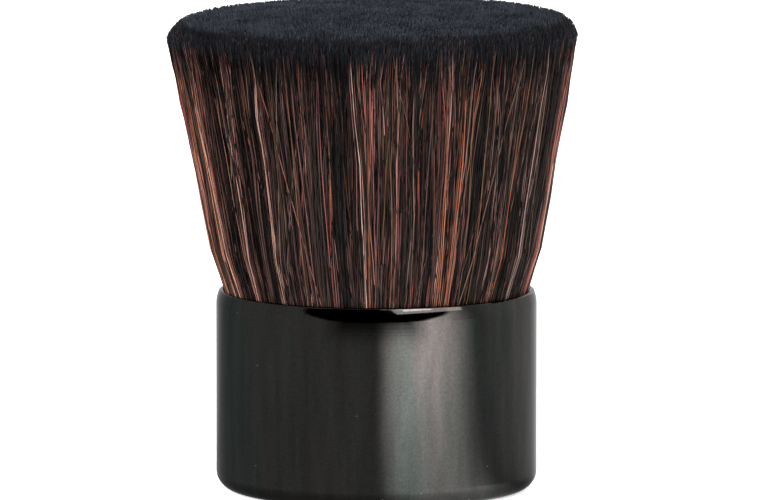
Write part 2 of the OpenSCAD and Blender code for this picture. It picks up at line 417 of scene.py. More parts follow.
@dataclass(frozen=True)
class Filament:
    """Nylon filament, extruded and dyed, its tip ground soft: a fine satin thread.

    The map that each filament carries gives its tint across, from 0 to 1 in narrow columns, and the
    way from root to tip along. The tint picks the dye, which streaks a little down the filament. The
    dye turns to black some way below the tip, at a height that each column sets for itself, and the
    ground tip scatters more light than the rest.
    """

    name: str
    tints: tuple[tuple[float, str], ...]
    below_tip: str = "#111214"
    tip: str = "#2c2f35"
    tip_streak: float = 0.7  # how much the tips' shades differ with the tint
    tip_glint: float = 1.2  # the palest tips are brighter than the others by this share
    rareness: float = 14.0  # how few of the tips are pale
    hues: tuple[float, float] = (0.462, 0.518)  # from redder to yellower, where 0.5 is the tint's own
    saturations: tuple[float, float] = (0.5, 1.06)
    dip: float = 0.935  # where the dye turns to black, as a share of the filament's length
    dip_spread: float = 0.062  # how much that height differs from column to column
    dip_edge: float = 0.03  # half the length over which the dye fades
    tip_from: float = 0.97  # where the ground tip begins, as a share of the filament's length
    tip_full: float = 1.0  # where it is fully ground
    roughness: float = 0.4
    specular: float = 0.08  # half of a lone filament's, because they lie close together: painted shade, the weaker sheen stands in for the shadow that close filaments cast on each other
    streak: float = 0.35  # how much the dye varies along a filament
    streak_count: float = 12.0  # streaks along a filament
    columns: int = COLUMNS

    def make(self) -> bpy.types.Material:
        """Build the material.

        Returns:
            The material.
        """
        material, nodes, shader = new_material(self.name)
        laid_out = nodes.add("ShaderNodeUVMap", uv_map=BAKE_MAP)
        spot = nodes.add("ShaderNodeSeparateXYZ", {0: laid_out})
        across, along = spot.outputs["X"], spot.outputs["Y"]
        tint = nodes.add("ShaderNodeValToRGB", {"Fac": across})
        set_ramp(tint.color_ramp, list(self.tints))
        scaled = nodes.add("ShaderNodeMath", {0: across, 1: float(self.columns)}, operation="MULTIPLY")
        column = nodes.add("ShaderNodeMath", {0: scaled}, operation="FLOOR")
        draws = nodes.add("ShaderNodeTexWhiteNoise", {"W": column}, noise_dimensions="1D")
        chance = nodes.add("ShaderNodeSeparateColor", {0: draws.outputs["Color"]}).outputs
        streaks = nodes.add("ShaderNodeCombineXYZ", {"X": column, "Y": along})
        shade = nodes.add_shade({"Vector": streaks, "Scale": self.streak_count, "Detail": 3.0}, self.streak)
        hue = nodes.add(
            "ShaderNodeMapRange", {"Value": chance["Red"], "To Min": self.hues[0], "To Max": self.hues[1]}
        )
        saturation = nodes.add(
            "ShaderNodeMapRange",
            {"Value": chance["Green"], "To Min": self.saturations[0], "To Max": self.saturations[1]},
        )
        own_tint = nodes.add(
            "ShaderNodeHueSaturation", {"Hue": hue, "Saturation": saturation, "Color": tint}
        )
        dyed = nodes.add("ShaderNodeVectorMath", {0: own_tint, "Scale": shade}, operation="SCALE")
        dip = nodes.add(
            "ShaderNodeMapRange",
            {
                "Value": chance["Blue"],
                "To Min": self.dip - self.dip_spread,
                "To Max": self.dip + self.dip_spread,
            },
        )
        past_dip = nodes.add("ShaderNodeMath", {0: along, 1: dip}, operation="SUBTRACT")
        dipped = nodes.add(
            "ShaderNodeMapRange",
            {"Value": past_dip, "From Min": -self.dip_edge, "From Max": self.dip_edge},
            interpolation_type="SMOOTHSTEP",
        )
        tip_shade = nodes.add(
            "ShaderNodeMapRange",
            {"Value": across, "To Min": 1 - self.tip_streak, "To Max": 1 + self.tip_streak},
        )
        rare = nodes.add("ShaderNodeMath", {0: chance["Blue"], 1: self.rareness}, operation="POWER")
        pale = nodes.add(
            "ShaderNodeMath", {0: rare, 1: self.tip_glint, 2: tip_shade}, operation="MULTIPLY_ADD"
        )
        end = nodes.add("ShaderNodeValToRGB", {"Fac": along})
        set_ramp(end.color_ramp, [(self.tip_from, self.below_tip), (self.tip_full, self.tip)])
        ended = nodes.add("ShaderNodeVectorMath", {0: end, "Scale": pale}, operation="SCALE")
        colour = nodes.add("ShaderNodeMix", {"Factor": dipped, "A": dyed, "B": ended}, data_type="RGBA")
        nodes.feed(
            shader, {"Base Color": colour, "Roughness": self.roughness, "Specular IOR Level": self.specular}
        )
        return material


class Slot(Enum):
    """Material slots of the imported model's record."""

    TWINE = "waxed_twine"
    BLACK = "black_filament"
    TWO_TONE = "two_tone_filament"


class Draw(IntEnum):
    """What a filament draws for itself, by the number of the draw. A swing is the sum of two draws."""

    TIP_RADIUS = 0
    TIP_DEPTH = 1
    ANGLE = 2
    DRIFT = 3
    DRIFT_TOO = 4
    FAN = 5
    FAN_TOO = 6
    STRAY = 7
    STRAY_SWING = 8
    STRAY_SWING_TOO = 9
    TINT = 10
    GIRTH = 11
    NEIGHBOUR_TINT = 12


def dress(node: str, material: bpy.types.Material) -> None:
    """Give a CAD node its finish.

    Args:
        node: The node's name.
        material: The finish.
    """
    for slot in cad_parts[node].material_slots:
        slot.material = material
    log.info("%s keeps its CAD shape and is finished in %s", node, material.name)


def finish_piece(piece: bpy.types.Object, slot: Slot, *nodes: str) -> None:
    """Fix a new piece to the brush and hide the CAD nodes that it stands for.

    Args:
        piece: The piece, in its place.
        slot: Not used.
        *nodes: The CAD nodes that it replaces.
    """
    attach(piece, ROOT_BODY)
    if nodes:
        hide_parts(*nodes)
    log.info("%s: %d triangles", piece.name, sum(len(face.vertices) - 2 for face in piece.data.polygons))


def new_growth(name: str, inputs: tuple[tuple[str, str], ...]) -> tuple[Nodes, bpy.types.NodeOutputs]:
    """Begin a Geometry Nodes tree that makes a piece.

    Args:
        name: The tree's name.
        inputs: Name and socket type of each input.

    Returns:
        The tree's nodes, and its inputs as its nodes can be given them.
    """
    tree = bpy.data.node_groups.new(name, "GeometryNodeTree")
    for label, kind in inputs:
        tree.interface.new_socket(label, in_out="INPUT", socket_type=kind)
    tree.interface.new_socket("Geometry", in_out="OUTPUT", socket_type="NodeSocketGeometry")
    nodes = Nodes(tree)
    return nodes, nodes.add("NodeGroupInput").outputs


def end_growth(nodes: Nodes, given: bpy.types.NodeOutputs, mesh: Node) -> None:
    """End a Geometry Nodes tree: its instances made real, its material set.

    Args:
        nodes: The tree's nodes.
        given: The tree's inputs, of which Finish is the material.
        mesh: The node that gives the piece's mesh.
    """
    realised = nodes.add("GeometryNodeRealizeInstances", {"Geometry": mesh})
    finished = nodes.add("GeometryNodeSetMaterial", {"Geometry": realised, "Material": given["Finish"]})
    nodes.add("NodeGroupOutput", {"Geometry": finished})


class GrownPiece:
    """A piece that a Geometry Nodes tree makes."""

    def __init__(self, tree: bpy.types.NodeTree) -> None:
        """Take the tree and find its inputs.

        Args:
            tree: The tree, whose named inputs are the piece's sizes and its finish.
        """
        self.tree = tree
        self.sockets = {
            item.name: item.identifier
            for item in tree.interface.items_tree
            if item.item_type == "SOCKET" and item.in_out == "INPUT"
        }

    def make(self, name: str, sizes: dict[str, Setting]) -> bpy.types.Object:
        """Run the tree and keep its result as a plain mesh.

        Args:
            name: The piece's name.
            sizes: Values of the tree's inputs, by name.

        Returns:
            The piece, at the origin.
        """
        carrier = bpy.data.objects.new(f"{name}_carrier", bpy.data.meshes.new(f"{name}_carrier"))
        bpy.context.scene.collection.objects.link(carrier)
        modifier = carrier.modifiers.new("Grow", "NODES")
        modifier.node_group = self.tree
        for label, value in sizes.items():
            modifier[self.sockets[label]] = value
        graph = bpy.context.evaluated_depsgraph_get()
        mesh = bpy.data.meshes.new_from_object(carrier.evaluated_get(graph), depsgraph=graph)
        mesh.name = name
        bpy.data.objects.remove(carrier)
        piece = bpy.data.objects.new(name, mesh)
        bpy.context.scene.collection.objects.link(piece)
        return piece


def extent(node: str, axis: str) -> float:
    """Return how far a CAD node reaches along an axis, in metres to a tenth of a millimetre."""
    return round(getattr(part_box(node)[1], axis), 4)


@dataclass(frozen=True)
class KnotShape:
    """Outline of the knot of filaments, in metres from the brush's base and its axis."""

    bottom_z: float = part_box("outer_bristles")[0].z
    top_z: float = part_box("core_bristles")[1].z
    head_r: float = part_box("outer_bristles")[1].x + mm(0.25)  # the outermost filaments stand out
    peg_h: float = mm(10)  # the spreader's cone
    peg_r: float = extent("spreader_peg", "x") + mm(0.15)  # the filaments stand off the cone's foot
    peg_tip_r: float = mm(0.9)
    root_z: float = extent("spreader_peg", "z") - peg_h  # where the filaments begin to spread
    rim_z: float = extent("handle_cup", "z") - mm(0.3)  # where the cup's rim holds them in
    rim_r: float = extent("handle_cup", "x") - mm(1.18)
    root_r: float = rim_r - mm(2.44)
    waist_z: float = rim_z + mm(0.8)  # where the filaments have swelled out over the rim
    waist_r: float = rim_r + mm(0.9)
    head_round: float = mm(3.3)  # radius of the head's edge
    crown_rise: float = mm(1.1)  # how much higher the middle of the top is than its edge
    reach: float = mm(30)  # the radius that stands for 1 on the outline's curve
    round_steps: int = 10  # points on the crown, and on its rounded edge

    @property
    def shoulder_z(self) -> float:
        """Height at which the rounded edge of the head begins."""
        return self.top_z - self.crown_rise - self.head_round

    def outline_points(self) -> list[tuple[float, float]]:
        """Work out the outline of the whole knot.

        Returns:
            The outline's points as shares: height over top_z, radius over reach.
        """
        flare = (self.head_r - self.waist_r) / (self.shoulder_z - self.waist_z)
        top_r = self.head_r + flare * (self.top_z - self.shoulder_z)
        stations = [
            (0.0, self.root_r),
            (self.root_z, self.root_r),
            (self.rim_z, self.rim_r),
            (self.waist_z, self.waist_r),
            (self.shoulder_z, self.head_r),
            (self.top_z, top_r),
        ]
        return [(z / self.top_z, r / self.reach) for z, r in stations]

    def head_points(self) -> list[tuple[float, float]]:
        """Work out the crowned top and its rounded edge.

        Returns:
            The surface's points as shares: radius over head_r, height over top_z.
        """
        crown_r = self.head_r - self.head_round
        points = []
        for step in range(self.round_steps):
            share = step / self.round_steps
            points.append((crown_r * share, self.top_z - self.crown_rise * share**2))
        for step in range(self.round_steps + 1):
            turn = math.pi / 2 * step / self.round_steps
            points.append(
                (
                    crown_r + self.head_round * math.sin(turn),
                    self.shoulder_z + self.head_round * math.cos(turn),
                )
            )
        return [(r / self.head_r, z / self.top_z) for r, z in points]

    def share_of_height(self, z: float) -> float:
        """Return a height as a share of the way from the filaments' bottom to their top."""
        return (z - self.bottom_z) / (self.top_z - self.bottom_z)


@dataclass
class FilamentTree:
    """Geometry Nodes tree that grows filaments in one sector of the knot."""

    name: str
    shape: KnotShape
    stations: tuple[float, ...]  # the points of a filament, as shares of its height
    taper: tuple[tuple[float, float], ...]  # share of the way, share of the full thickness
    columns: int = COLUMNS
    column_from: float = 0.25  # a filament's map begins this far into its column
    sides: int = 3
    girths: tuple[float, float] = (0.75, 1.25)  # how much the filaments differ in thickness
    drawn_out: float = 0.18  # how fast the sway of a lock changes along it, against across it
    wave_scale: float = 3.0  # how fast a filament's own wave changes along it
    lock_way: float = 0.5  # the way from root to tip at which a filament's lock is looked up
    middle_tint: float = 0.5
    neighbour_tint: float = 0.12  # even the tints that come out alike still differ by this much
    seed_step: int = 19  # more than there are draws, so that no two seeds share one

    SIDEWAYS = (2.0, 2.0, 0.0)  # spreads a centred noise to -1 and 1 across the knot only

    INPUTS = (
        ("Count", "NodeSocketInt"),
        ("Seed", "NodeSocketInt"),
        ("Sector Start", "NodeSocketFloat"),
        ("Sector End", "NodeSocketFloat"),
        ("Inner Radius", "NodeSocketFloat"),
        ("Outer Radius", "NodeSocketFloat"),
        ("Filament Radius", "NodeSocketFloat"),
        ("Tip Scatter", "NodeSocketFloat"),
        ("Depth Drift", "NodeSocketFloat"),
        ("Fan Angle", "NodeSocketFloat"),
        ("Stray Share", "NodeSocketFloat"),
        ("Stray Angle", "NodeSocketFloat"),
        ("Lock Size", "NodeSocketFloat"),
        ("Lock Sway", "NodeSocketFloat"),
        ("Own Wave", "NodeSocketFloat"),
        ("Lock Tint", "NodeSocketFloat"),
        ("Own Tint", "NodeSocketFloat"),
        ("Lean", "NodeSocketFloat"),
        ("Finish", "NodeSocketMaterial"),
    )

    def __post_init__(self) -> None:
        """Begin the tree."""
        self.nodes, self.given = new_growth(self.name, self.INPUTS)

    def build(self) -> bpy.types.NodeTree:
        """Build the tree.

        Returns:
            The tree, whose named inputs are those in INPUTS.
        """
        blanks = self.add_blanks()
        plan = self.add_plan(blanks)
        end_growth(self.nodes, self.given, self.add_sweep(plan))
        return self.nodes.tree

    def fix_to_points(self, geometry: Source, values: dict[str, tuple[str, Source]]) -> Node:
        """Fix values to the points of curves, for later steps.

        Args:
            geometry: The curves.
            values: Type and source of each value, by the name that its output gets.

        Returns:
            The node that gives the curves and, by name, the values.
        """
        nodes = self.nodes
        kept = nodes.add("GeometryNodeCaptureAttribute", {"Geometry": geometry}, domain="POINT")
        for label, (kind, source) in values.items():
            kept.capture_items.new(kind, label)
            nodes.feed(kept, {label: source})
        return kept

    def add_blanks(self) -> Node:
        """Add the straight curves that become filaments.

        Returns:
            The node that gives the curves, with the Number of each and the Way of each point.
        """
        nodes, given = self.nodes, self.given
        line = nodes.add("GeometryNodeCurvePrimitiveLine")
        split = nodes.add("GeometryNodeResampleCurve", {"Curve": line, "Count": len(self.stations)})
        copies = nodes.add(
            "GeometryNodeDuplicateElements", {"Geometry": split, "Amount": given["Count"]}, domain="SPLINE"
        )
        factor = nodes.add("GeometryNodeSplineParameter").outputs["Factor"]
        way = nodes.add("ShaderNodeFloatCurve", {"Value": factor})
        last = len(self.stations) - 1
        set_curve(way.mapping, [(i / last, share) for i, share in enumerate(self.stations)])
        number = copies.outputs["Duplicate Index"]
        return self.fix_to_points(copies, {"Number": ("INT", number), "Way": ("FLOAT", way)})

    def add_outline(self, height: Source) -> Node:
        """Add the outline's radius at a height.

        Args:
            height: The height.

        Returns:
            The node that gives the radius.
        """
        nodes = self.nodes
        share = nodes.add("ShaderNodeMath", {0: height, 1: self.shape.top_z}, operation="DIVIDE")
        curve = nodes.add("ShaderNodeFloatCurve", {"Value": share})
        set_curve(curve.mapping, self.shape.outline_points())
        return nodes.add("ShaderNodeMath", {0: curve, 1: self.shape.reach}, operation="MULTIPLY")

    def add_chance(self, number: Source, draw: Draw, limits: tuple[Source, Source]) -> Node:
        """Add a random value that each filament draws for itself.

        Args:
            number: The filament's number.
            draw: Which of the filament's draws this is.
            limits: Lowest and highest value.

        Returns:
            The node that gives the value.
        """
        nodes, given = self.nodes, self.given
        seed = nodes.add(
            "ShaderNodeMath",
            {0: given["Seed"], 1: float(self.seed_step), 2: float(draw)},
            operation="MULTIPLY_ADD",
        )
        low, high = limits
        return nodes.add("FunctionNodeRandomValue", {"Min": low, "Max": high, "ID": number, "Seed": seed})

    def add_swing(self, number: Source, draws: tuple[Draw, Draw], angle: Source) -> Node:
        """Add a random angle about zero, which is more often small than large.

        Args:
            number: The filament's number.
            draws: Which two of the filament's draws are used.
            angle: The largest angle.

        Returns:
            The node that gives the angle.
        """
        nodes = self.nodes
        one, other = (self.add_chance(number, draw, CENTRED) for draw in draws)
        both = nodes.add("ShaderNodeMath", {0: one, 1: other}, operation="ADD")
        return nodes.add("ShaderNodeMath", {0: both, 1: angle}, operation="MULTIPLY")

    def add_plan(self, blanks: Node) -> Node:
        """Add the nodes that bend each blank along its way through the knot.

        Args:
            blanks: The node that gives the straight curves.

        Returns:
            The node that gives the bent curves, with the Number, Way and Tint of their points.
        """
        nodes, given = self.nodes, self.given
        shape = self.shape
        number, way = blanks.outputs["Number"], blanks.outputs["Way"]
        tip_r, tip_z = self.add_tip(number)
        height = nodes.add("ShaderNodeMapRange", {"Value": way, "To Min": shape.bottom_z, "To Max": tip_z})
        tip_outline = self.add_outline(tip_z)
        tip_share = nodes.add("ShaderNodeMath", {0: tip_r, 1: tip_outline}, operation="DIVIDE")
        drift = self.add_swing(number, (Draw.DRIFT, Draw.DRIFT_TOO), given["Depth Drift"])
        drifted = nodes.add("ShaderNodeMath", {0: tip_share, 1: drift})
        root_share = nodes.add("ShaderNodeMath", {0: drifted, 1: 1.0}, operation="MINIMUM")
        share = nodes.add("ShaderNodeMapRange", {"Value": way, "To Min": root_share, "To Max": tip_share})
        spread = nodes.add("ShaderNodeMath", {0: share, 1: self.add_outline(height)}, operation="MULTIPLY")
        radius = nodes.add("ShaderNodeMath", {0: spread, 1: self.add_peg(height)}, operation="MAXIMUM")
        angle = self.add_angle(number, way)
        flat = nodes.add("ShaderNodeCombineXYZ", {"X": radius, "Z": height})
        turned = nodes.add(
            "ShaderNodeVectorRotate", {"Vector": flat, "Angle": angle}, rotation_type="Z_AXIS"
        )
        lean = nodes.add("ShaderNodeMath", {0: given["Lean"], 1: way}, operation="MULTIPLY")
        leant = nodes.add(
            "ShaderNodeVectorRotate",
            {"Vector": turned, "Center": (0.0, 0.0, shape.root_z), "Angle": lean},
            rotation_type="Y_AXIS",
        )
        lock_scale = nodes.add("ShaderNodeMath", {0: 1.0, 1: given["Lock Size"]}, operation="DIVIDE")
        long_locks = nodes.add(
            "ShaderNodeVectorMath", {0: turned, 1: (1.0, 1.0, self.drawn_out)}, operation="MULTIPLY"
        )
        swayed = self.add_sway((long_locks, lock_scale), leant, way, given["Lock Sway"])
        own_spot = nodes.add("ShaderNodeCombineXYZ", {"X": number, "Y": way})
        waved = self.add_sway((own_spot, self.wave_scale), swayed, way, given["Own Wave"])
        moved = nodes.add(
            "GeometryNodeSetPosition", {"Geometry": blanks.outputs["Geometry"], "Position": waved}
        )
        outwards = nodes.add("ShaderNodeCombineXYZ", {"X": tip_r})
        lock_angle = self.add_angle(number, self.lock_way)
        lock_spot = nodes.add(
            "ShaderNodeVectorRotate", {"Vector": outwards, "Angle": lock_angle}, rotation_type="Z_AXIS"
        )
        tint = self.add_tint(number, (lock_spot, lock_scale))
        return self.fix_to_points(
            moved, {"Number": ("INT", number), "Way": ("FLOAT", way), "Tint": ("FLOAT", tint)}
        )

    def add_tip(self, number: Source) -> tuple[Node, Node]:
        """Add the place of each filament's tip, spread evenly over the head.

        Args:
            number: The filament's number.

        Returns:
            The nodes that give the tip's radius and its height.
        """
        nodes, given = self.nodes, self.given
        squares = [
            nodes.add("ShaderNodeMath", {0: given[label], 1: 2.0}, operation="POWER")
            for label in ("Inner Radius", "Outer Radius")
        ]
        area = self.add_chance(number, Draw.TIP_RADIUS, tuple(squares))
        tip_r = nodes.add("ShaderNodeMath", {0: area}, operation="SQRT")
        share = nodes.add("ShaderNodeMath", {0: tip_r, 1: self.shape.head_r}, operation="DIVIDE")
        head = nodes.add("ShaderNodeFloatCurve", {"Value": share})
        set_curve(head.mapping, self.shape.head_points())
        top = nodes.add("ShaderNodeMath", {0: head, 1: self.shape.top_z}, operation="MULTIPLY")
        short = self.add_chance(number, Draw.TIP_DEPTH, (0.0, given["Tip Scatter"]))
        tip_z = nodes.add("ShaderNodeMath", {0: top, 1: short}, operation="SUBTRACT")
        return tip_r, tip_z

    def add_peg(self, height: Source) -> Node:
        """Add the radius that the spreader's cone takes at a height, 0 above the cone.

        Args:
            height: The height.

        Returns:
            The node that gives the radius.
        """
        nodes = self.nodes
        shape = self.shape
        cone = nodes.add(
            "ShaderNodeMapRange",
            {
                "Value": height,
                "From Min": shape.root_z,
                "From Max": shape.root_z + shape.peg_h,
                "To Min": shape.peg_r,
                "To Max": shape.peg_tip_r,
            },
        )
        beside = nodes.add(
            "ShaderNodeMath", {0: height, 1: shape.root_z + shape.peg_h}, operation="LESS_THAN"
        )
        return nodes.add("ShaderNodeMath", {0: cone, 1: beside}, operation="MULTIPLY")

    def add_angle(self, number: Source, way: Source) -> Node:
        """Add the angle round the axis, which fans a little for all and more for a few strays.

        Args:
            number: The filament's number.
            way: How far along the filament the angle is wanted, from 0 to 1.

        Returns:
            The node that gives the angle.
        """
        nodes, given = self.nodes, self.given
        sector = (given["Sector Start"], given["Sector End"])
        base = self.add_chance(number, Draw.ANGLE, sector)
        fan = self.add_swing(number, (Draw.FAN, Draw.FAN_TOO), given["Fan Angle"])
        lot = self.add_chance(number, Draw.STRAY, (0.0, 1.0))
        is_stray = nodes.add("ShaderNodeMath", {0: lot, 1: given["Stray Share"]}, operation="LESS_THAN")
        draws = (Draw.STRAY_SWING, Draw.STRAY_SWING_TOO)
        swing = self.add_swing(number, draws, given["Stray Angle"])
        turn = nodes.add("ShaderNodeMath", {0: swing, 1: is_stray, 2: fan}, operation="MULTIPLY_ADD")
        return nodes.add("ShaderNodeMath", {0: turn, 1: way, 2: base}, operation="MULTIPLY_ADD")

    def add_sway(self, pattern: tuple[Source, Source], place: Source, way: Source, sway: Source) -> Node:
        """Add a slow sideways wander that grows towards the tips.

        Args:
            pattern: Where the wander is looked up, and the scale of its noise.
            place: Where the points lie so far.
            way: How far along the filament the points lie, from 0 to 1.
            sway: How far the tips move.

        Returns:
            The node that gives the points' new places.
        """
        nodes = self.nodes
        spot, scale = pattern
        noise = nodes.add("ShaderNodeTexNoise", {"Vector": spot, "Scale": scale, "Detail": 1.0})
        centred = nodes.add(
            "ShaderNodeVectorMath",
            {0: noise.outputs["Color"], 1: (NOISE_MIDDLE, NOISE_MIDDLE, NOISE_MIDDLE)},
            operation="SUBTRACT",
        )
        level = nodes.add("ShaderNodeVectorMath", {0: centred, 1: self.SIDEWAYS}, operation="MULTIPLY")
        reach = nodes.add("ShaderNodeMath", {0: way, 1: sway}, operation="MULTIPLY")
        shift = nodes.add("ShaderNodeVectorMath", {0: level, "Scale": reach}, operation="SCALE")
        return nodes.add("ShaderNodeVectorMath", {0: place, 1: shift})

    def add_tint(self, number: Source, pattern: tuple[Source, Source]) -> Node:
        """Add each filament's tint, from 0 to 1, which goes partly by locks.

        Args:
            number: The filament's number.
            pattern: Where the locks are looked up, and the scale of their noise.

        Returns:
            The node that gives the tint.
        """
        nodes, given = self.nodes, self.given
        spot, scale = pattern
        lock = nodes.add("ShaderNodeTexNoise", {"Vector": spot, "Scale": scale, "Detail": 2.0})
        centred = nodes.add("ShaderNodeMath", {0: lock, 1: NOISE_MIDDLE}, operation="SUBTRACT")
        own = self.add_chance(number, Draw.TINT, CENTRED)
        single = nodes.add(
            "ShaderNodeMath", {0: own, 1: given["Own Tint"], 2: self.middle_tint}, operation="MULTIPLY_ADD"
        )
        mixed = nodes.add(
            "ShaderNodeMath",
            {0: centred, 1: given["Lock Tint"], 2: single},
            operation="MULTIPLY_ADD",
            use_clamp=True,
        )
        apart = self.add_chance(number, Draw.NEIGHBOUR_TINT, (0.0, self.neighbour_tint))
        return nodes.add(
            "ShaderNodeMath", {0: mixed, 1: 1 - self.neighbour_tint, 2: apart}, operation="MULTIPLY_ADD"
        )

    def add_sweep(self, plan: Node) -> Node:
        """Add the nodes that give the curves their thickness and their map.

        Args:
            plan: The node that gives the bent curves, with the Number, Way and Tint of their points.

        Returns:
            The node that gives the filaments' mesh.
        """
        nodes, given = self.nodes, self.given
        factor = nodes.add("GeometryNodeSplineParameter").outputs["Factor"]
        taper = nodes.add("ShaderNodeFloatCurve", {"Value": factor})
        set_curve(taper.mapping, list(self.taper))
        girth = self.add_chance(plan.outputs["Number"], Draw.GIRTH, self.girths)
        full = nodes.add("ShaderNodeMath", {0: girth, 1: given["Filament Radius"]}, operation="MULTIPLY")
        thickness = nodes.add("ShaderNodeMath", {0: full, 1: taper}, operation="MULTIPLY")
        ring = nodes.add("GeometryNodeCurvePrimitiveCircle", {"Resolution": self.sides, "Radius": 1.0})
        around = self.fix_to_points(ring, {"Around": ("FLOAT", factor)})
        swept = nodes.add(
            "GeometryNodeCurveToMesh",
            {
                "Curve": plan.outputs["Geometry"],
                "Profile Curve": around.outputs["Geometry"],
                "Scale": thickness,
                "Fill Caps": True,
            },
        )
        scaled = nodes.add(
            "ShaderNodeMath", {0: plan.outputs["Tint"], 1: float(self.columns - 1)}, operation="MULTIPLY"
        )
        column = nodes.add("ShaderNodeMath", {0: scaled}, operation="ROUND")
        within = nodes.add(
            "ShaderNodeMapRange",
            {"Value": around.outputs["Around"], "To Min": self.column_from, "To Max": 1.0},
        )
        across = nodes.add("ShaderNodeMath", {0: column, 1: within})
        share = nodes.add("ShaderNodeMath", {0: across, 1: float(self.columns)}, operation="DIVIDE")
        spot = nodes.add("ShaderNodeCombineXYZ", {"X": share, "Y": plan.outputs["Way"]})
        mapped = nodes.add(
            "GeometryNodeStoreNamedAttribute",
            {"Geometry": swept, "Name": BAKE_MAP, "Value": spot},
            data_type="FLOAT2",
            domain="CORNER",
        )
        return nodes.add("GeometryNodeSetShadeSmooth", {"Geometry": mapped})


@dataclass
class Cup:
    """The drawn cup, and the weight that stands on a foam pad inside it."""

    shell: AnodisedAluminium = AnodisedAluminium()
    # zinc plating is bright, with a faint cloudy spangle
    zinc: Mottled = Mottled(
        "zinc_plated_steel",
        dark="#8f9498",
        light="#b9bec2",
        roughness=0.32,
        grain=3.0,
        depth=0.01,
        metallic=1.0,
    )
    # the foam tape's cut cells look dull and pitted
    foam: Mottled = Mottled(
        "adhesive_foam", dark="#3a3a3d", light="#57575b", roughness=0.85, grain=0.5, depth=0.08
    )

    def dress(self) -> None:
        """Finish the CAD pieces."""
        finishes = {"handle_cup": self.shell, "base_weight": self.zinc, "weight_pad": self.foam}
        for node, finish in finishes.items():
            dress(node, finish.make())


@dataclass
class Liner:
    """The moulded liner and spreader, the glue round them and the resin inside."""

    # moulded polypropylene is off-white, waxy and almost even
    plastic: Mottled = Mottled(
        "moulded_polypropylene", dark="#cbc6b8", light="#dedacf", roughness=0.45, grain=2.5, depth=0.01
    )
    # contact glue dries amber and a little uneven
    glue: Mottled = Mottled(
        "contact_glue", dark="#a98a4a", light="#cdb075", roughness=0.35, grain=1.5, depth=0.06
    )
    # cast epoxy is amber, smooth and glossy
    epoxy: Mottled = Mottled(
        "amber_epoxy", dark="#7a4a1c", light="#a9702f", roughness=0.15, grain=3.0, depth=0.01, coat=0.5
    )

    def dress(self) -> None:
        """Finish the CAD pieces."""
        moulded = self.plastic.make()
        dress("liner_cup", moulded)
        dress("spreader_peg", moulded)
        dress("liner_glue", self.glue.make())
        dress("resin_plug", self.epoxy.make())


@dataclass
class Twine:
    """The waxed twine that binds the knot just above its root."""

    radius: float = mm(0.3)
    turns: float = 4.0
    finish: WaxedTwine = WaxedTwine()
    widening: float = mm(0.36)  # how much wider the last turn is than the first
    steps: int = 48  # per turn
    sides: int = 10

    INPUTS = (
        ("Turns", "NodeSocketFloat"),
        ("First Radius", "NodeSocketFloat"),
        ("Last Radius", "NodeSocketFloat"),
        ("Height", "NodeSocketFloat"),
        ("Bottom", "NodeSocketVector"),
        ("Thickness", "NodeSocketFloat"),
        ("Finish", "NodeSocketMaterial"),
    )

    def build(self) -> bpy.types.NodeTree:
        """Build the tree that winds the twine.

        Returns:
            The tree, whose named inputs are those in INPUTS.
        """
        nodes, given = new_growth("binding_twine", self.INPUTS)
        coil = nodes.add(
            "GeometryNodeCurveSpiral",
            {
                "Resolution": self.steps,
                "Rotations": given["Turns"],
                "Start Radius": given["First Radius"],
                "End Radius": given["Last Radius"],
                "Height": given["Height"],
            },
        )
        lifted = nodes.add("GeometryNodeSetPosition", {"Geometry": coil, "Offset": given["Bottom"]})
        ring = nodes.add(
            "GeometryNodeCurvePrimitiveCircle", {"Resolution": self.sides, "Radius": given["Thickness"]}
        )
        swept = nodes.add(
            "GeometryNodeCurveToMesh", {"Curve": lifted, "Profile Curve": ring, "Fill Caps": True}
        )
        end_growth(nodes, given, swept)
        return nodes.tree

    def wind(self) -> None:
        """Wind the twine in the place of the CAD node."""
        low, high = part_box("binding_twine")
        last_r = high.x - self.radius
        piece = GrownPiece(self.build()).make(
            "twine",
            {
                "Turns": self.turns,
                "First Radius": last_r - self.widening,
                "Last Radius": last_r,
                "Height": high.z - low.z - 2 * self.radius,
                "Bottom": (0.0, 0.0, low.z + self.radius),
                "Thickness": self.radius,
                "Finish": self.finish.make(),
            },
        )
        finish_piece(piece, Slot.TWINE, "binding_twine")


@dataclass(frozen=True)
class Planting:
    """How one kind of filament fills the knot, in metres and radians, sector by sector."""

    name: str
    slot: Slot
    node: str  # the CAD node that it stands for
    count: int
    sectors: int
    seed: int  # the first sector's
    inner_r: float  # the tips stand in a ring from here
    outer_r: float  # to here
    filament_r: float
    tip_scatter: float  # how much shorter than the head's surface the filaments may be
    lock_size: float
    lock_sway: float  # how far a lock's tips are moved
    lock_tint: float  # how much the tint goes by locks
    own_tint: float  # how much the tint goes by filaments
    depth_drift: float = 0.0  # how far the roots lie nearer to the surface or deeper than the tips
    fan_angle: float = 0.0  # how far round the axis any filament may turn on its way
    stray_share: float = 0.0  # how many filaments cross the others
    stray_angle: float = 0.0  # how much further round those may turn
    own_wave: float = 0.0  # how far a filament's own wave moves its tip

    def sizes(self, sector: int) -> dict[str, Setting]:
        """Work out what a FilamentTree is given for one sector.

        Args:
            sector: The sector's number, from 0.

        Returns:
            Values of the tree's inputs, by name, but for the lean and the finish.
        """
        return {
            "Count": self.count // self.sectors,
            "Seed": self.seed + sector,
            "Sector Start": math.tau * sector / self.sectors,
            "Sector End": math.tau * (sector + 1) / self.sectors,
            "Inner Radius": self.inner_r,
            "Outer Radius": self.outer_r,
            "Filament Radius": self.filament_r,
            "Tip Scatter": self.tip_scatter,
            "Depth Drift": self.depth_drift,
            "Fan Angle": self.fan_angle,
            "Stray Share": self.stray_share,
            "Stray Angle": self.stray_angle,
            "Lock Size": self.lock_size,
            "Lock Sway": self.lock_sway,
            "Own Wave": self.own_wave,
            "Lock Tint": self.lock_tint,
            "Own Tint": self.own_tint,
        }


